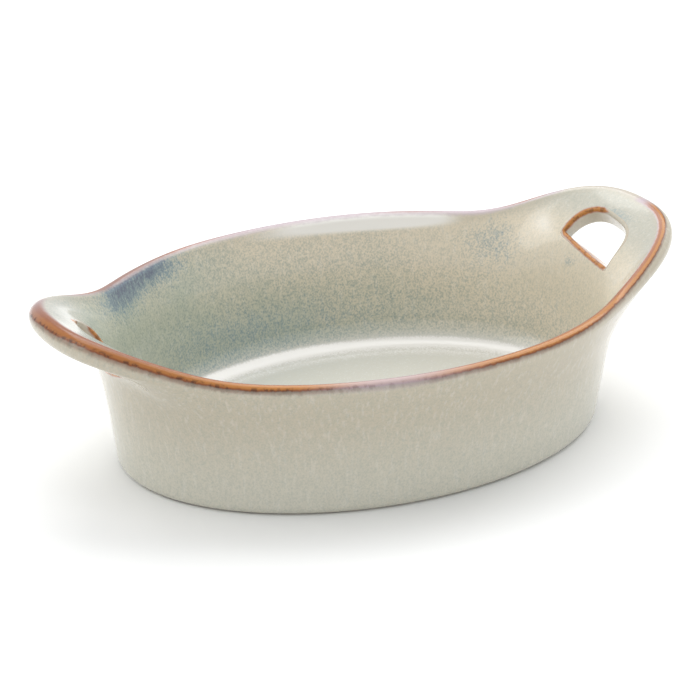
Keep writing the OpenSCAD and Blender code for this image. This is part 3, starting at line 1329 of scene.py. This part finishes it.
    def material(self) -> bpy.types.Material:
        """Builds the glaze's material: body, brown band, and the wiped edges of the finger holes over both.

        Returns:
            The material, for the whole dish except the bare foot.
        """
        finish = empty_finish("reactive_glaze_on_stoneware_fired_glossy")
        tree = finish.node_tree
        marks = self.marks(tree)
        brown, cover = self.broken(tree, marks)
        edge = marks["near_hole"] + marks["ragged"]
        wiped = self.hole_wiped.of(edge)
        core = laid(tree, linear(self.amber), [(self.hole_spots.of(marks["coarse"]), linear(self.umber))])
        layers = [(cover, brown), (self.hole_fringe.of(edge), linear(self.rose)), (wiped, core)]
        thin = cover.reckon("MAXIMUM", wiped)
        ripple = marks["coarse"] * self.ripple_grit + marks["ripple"]
        bump = {"Height": ripple, "Strength": self.ripple_strength, "Distance": self.ripple_height}
        look = {
            "Base Color": laid(tree, self.body(tree, marks), layers),
            "Roughness": self.roughness,
            "IOR": self.ior,
            "Specular IOR Level": thin * self.thin_gloss + self.gloss,
            "Coat Weight": thin * self.thin_coat + self.coat,
            "Coat Roughness": self.coat_roughness,
            "Normal": add_node(tree, "ShaderNodeBump", bump).outputs[0],
        }
        shader = add_node(tree, "ShaderNodeBsdfPrincipled", look)
        add_node(tree, "ShaderNodeOutputMaterial", {"Surface": shader.outputs[0]})
        return finish


@dataclass(frozen=True)
class BareStoneware:
    """Fired stoneware clay, wiped clean of glaze where the dish stands.

    To the eye it is matt and buff, with a faint grit that is drawn 0.6 mm wide, coarser than real, so it
    shows.
    """

    buff: str = "#c2ad90"
    sand: str = "#8d7556"
    roughness: float = 0.85
    grit: Grain = Grain(0.625, 3.0)
    grit_strength: float = 0.4
    grit_height: float = 0.0002

    def material(self) -> bpy.types.Material:
        """Builds the bare clay's material.

        Returns:
            The material, for the foot.
        """
        finish = empty_finish("stoneware_clay_fired_and_wiped_bare")
        tree = finish.node_tree
        place = add_node(tree, "ShaderNodeTexCoord").outputs["Object"]
        grit = self.grit.drawn(tree, place)
        bump = {"Height": grit, "Strength": self.grit_strength, "Distance": self.grit_height}
        look = {
            "Base Color": laid(tree, linear(self.buff), [(grit, linear(self.sand))]),
            "Roughness": self.roughness,
            "Normal": add_node(tree, "ShaderNodeBump", bump).outputs[0],
        }
        shader = add_node(tree, "ShaderNodeBsdfPrincipled", look)
        add_node(tree, "ShaderNodeOutputMaterial", {"Surface": shader.outputs[0]})
        return finish


@dataclass(frozen=True)
class PaperSweep:
    """White paper laid as a photographer's sweep: to the eye a flat, even white with no gloss."""

    white: str = "#f7f7f6"
    roughness: float = 0.9
    gloss: float = 0.1

    def material(self) -> bpy.types.Material:
        """Builds the paper's material.

        Returns:
            The material, for the floor.
        """
        finish = bpy.data.materials.new("white_paper_sweep")
        finish.use_nodes = True
        look = finish.node_tree.nodes["Principled BSDF"]
        look.inputs["Base Color"].default_value = linear(self.white)
        look.inputs["Roughness"].default_value = self.roughness
        look.inputs["Specular IOR Level"].default_value = self.gloss
        return finish


@dataclass(frozen=True)
class SoftLight:
    """A soft box: where it stands, what it looks at, its two sides and its power in watts."""

    name: str
    stand: tuple[float, float, float]
    aim: tuple[float, float, float]
    sides: tuple[float, float]
    power: float

    def hang(self) -> None:
        """Hangs the soft box and turns it to what it looks at."""
        data = bpy.data.lights.new(self.name, "AREA")
        data.shape = "RECTANGLE"
        data.size, data.size_y = self.sides
        data.energy = self.power
        lamp = bpy.data.objects.new(self.name, data)
        lamp.location = self.stand
        look = Vector(self.aim) - Vector(self.stand)
        lamp.rotation_euler = look.to_track_quat("-Z", "Y").to_euler()
        bpy.context.scene.collection.objects.link(lamp)


@dataclass
class Studio:
    """Plain pale floor, soft light and a camera at the photograph's angle, in metres and degrees.

    The floor lies a hair below the foot, so that the two don't share a face.
    """

    azimuth: float = 29.953
    elevation: float = 23.07
    distance: float = 1.35476
    aim: tuple[float, float, float] = (-0.00493, 0.0, 0.03596)
    pixels_per_metre: float = 2470.0
    sensor: float = 36.0
    view_end: float = 50.0
    lights: tuple[SoftLight, ...] = (
        SoftLight("overhead", (0.52, 0.5, 1.2), (0.0, 0.0, 0.03), (1.5, 1.3), 14.5),
        SoftLight("left_fill", (-0.95, 0.5, 1.05), (0.0, 0.0, 0.04), (0.9, 0.9), 4.0),
    )
    surround: str = "#f4f6f8"
    surround_strength: float = 0.95
    paper: PaperSweep = PaperSweep()
    floor_side: float = 40.0
    floor_drop: float = 0.00002

    def camera(self) -> bpy.types.Object:
        """Stands the camera at the photograph's angle and distance, level, looking at its aim.

        Returns:
            The camera.
        """
        a, e = np.radians(-self.azimuth), np.radians(self.elevation)
        back = np.array([np.sin(a) * np.cos(e), -np.cos(a) * np.cos(e), np.sin(e)])
        right = np.array([np.cos(a), np.sin(a), 0.0])
        up = np.cross(back, right)
        data = bpy.data.cameras.new("camera")
        data.sensor_width = self.sensor
        data.lens = self.pixels_per_metre * self.distance * self.sensor / PHOTO_SIDE
        data.clip_end = self.view_end
        camera = bpy.data.objects.new("camera", data)
        turn = Matrix(np.stack([right, up, back], axis=1).tolist()).to_4x4()
        camera.matrix_world = Matrix.Translation(Vector(np.array(self.aim) + back * self.distance)) @ turn
        bpy.context.scene.collection.objects.link(camera)
        bpy.context.scene.camera = camera
        return camera

    def floor(self) -> bpy.types.Object:
        """Lays a plain white floor under the dish.

        Returns:
            The floor.
        """
        half, low = self.floor_side / 2, -self.floor_drop
        mesh = bpy.data.meshes.new("floor")
        corners = [(-half, -half, low), (half, -half, low), (half, half, low), (-half, half, low)]
        mesh.from_pydata(corners, [], [(0, 1, 2, 3)])
        mesh.materials.append(self.paper.material())
        floor = bpy.data.objects.new("floor", mesh)
        bpy.context.scene.collection.objects.link(floor)
        return floor

    def build(self) -> None:
        """Sets up the floor, the lights, the pale surround and the camera."""
        self.floor()
        for light in self.lights:
            light.hang()
        world = bpy.data.worlds.new("pale_surround")
        world.use_nodes = True
        backdrop = world.node_tree.nodes["Background"]
        backdrop.inputs["Color"].default_value = linear(self.surround)
        backdrop.inputs["Strength"].default_value = self.surround_strength
        bpy.context.scene.world = world
        bpy.context.scene.view_settings.view_transform = "Standard"
        self.camera()


POOLS_AND_PAINTED_LIGHT = (
    # Blue under the rear rim beside the left handle.
    SoftPatch((-84.0, 56.0, 56.0), (18.0, 12.0, 10.0), 0.85),
    SoftPatch((-60.0, 69.0, 58.0), (24.0, 13.0, 7.5), 0.88),
    # Specks under the rear rim beside the right handle.
    SoftPatch((92.0, 45.0, 50.0), (14.0, 14.0, 12.0), 0.42),
    # Teal low on the rear wall: partly teal glaze, partly painted shade where the inner wall nears the cove.
    SoftPatch((-30.0, 68.0, 18.0), (48.0, 22.0, 18.0), 0.4),
    SoftPatch((40.0, 68.0, 20.0), (50.0, 22.0, 14.0), 0.22),
    # A fleck below the right finger hole, and specks above it.
    SoftPatch((107.0, 9.0, 50.0), (2.6, 3.0, 2.2), 0.6),
    SoftPatch((125.0, -2.0, 70.2), (3.0, 9.0, 2.6), 0.45),
    # Painted highlights laid as milky glaze: the sheen inside the rear rim, and the glow at the root of the
    # right handle.
    SoftPatch((50.0, 74.0, 57.4), (46.0, 20.0, 3.4), -1.4),
    # Painted highlight: the glow at the root of the right handle.
    SoftPatch((106.0, 30.0, 60.0), (8.0, 11.0, 7.0), -0.4),
)
VEILS_AND_HIGHLIGHT = (
    # The rear rim, its right end and the rear of the right handle.
    SoftPatch((30.0, 84.0, 62.0), (70.0, 16.0, 8.0), 1.1),
    SoftPatch((88.0, 56.0, 61.0), (24.0, 24.0, 10.0), 0.9),
    SoftPatch((134.0, 20.0, 74.0), (22.0, 19.0, 12.0), 4.0),
    # The middle of the front rim: lilac glaze, brightened there as a painted highlight.
    SoftPatch((-40.0, -84.0, 60.0), (44.0, 14.0, 10.0), 0.72),
    # The left handle's tip and its rear.
    SoftPatch((-137.0, 14.0, 74.0), (8.0, 14.0, 8.0), 0.35),
    SoftPatch((-118.0, 34.0, 70.0), (20.0, 14.0, 10.0), 1.8),
)


def main() -> None:
    """Builds the dish and its studio in order, and reports each piece."""
    logging.basicConfig(level=logging.INFO, format="%(message)s")
    dish = BakingDish().build(POOLS_AND_PAINTED_LIGHT, VEILS_AND_HIGHLIGHT, (ReactiveGlaze().material(), BareStoneware().material()))
    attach(dish, "root")
    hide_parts("baking_dish")
    LOG.info("%s: %d faces", dish.name, len(dish.data.polygons))
    Studio().build()
    LOG.info("studio: %d lights", len(bpy.data.lights))


if __name__ == "__main__":
    main()
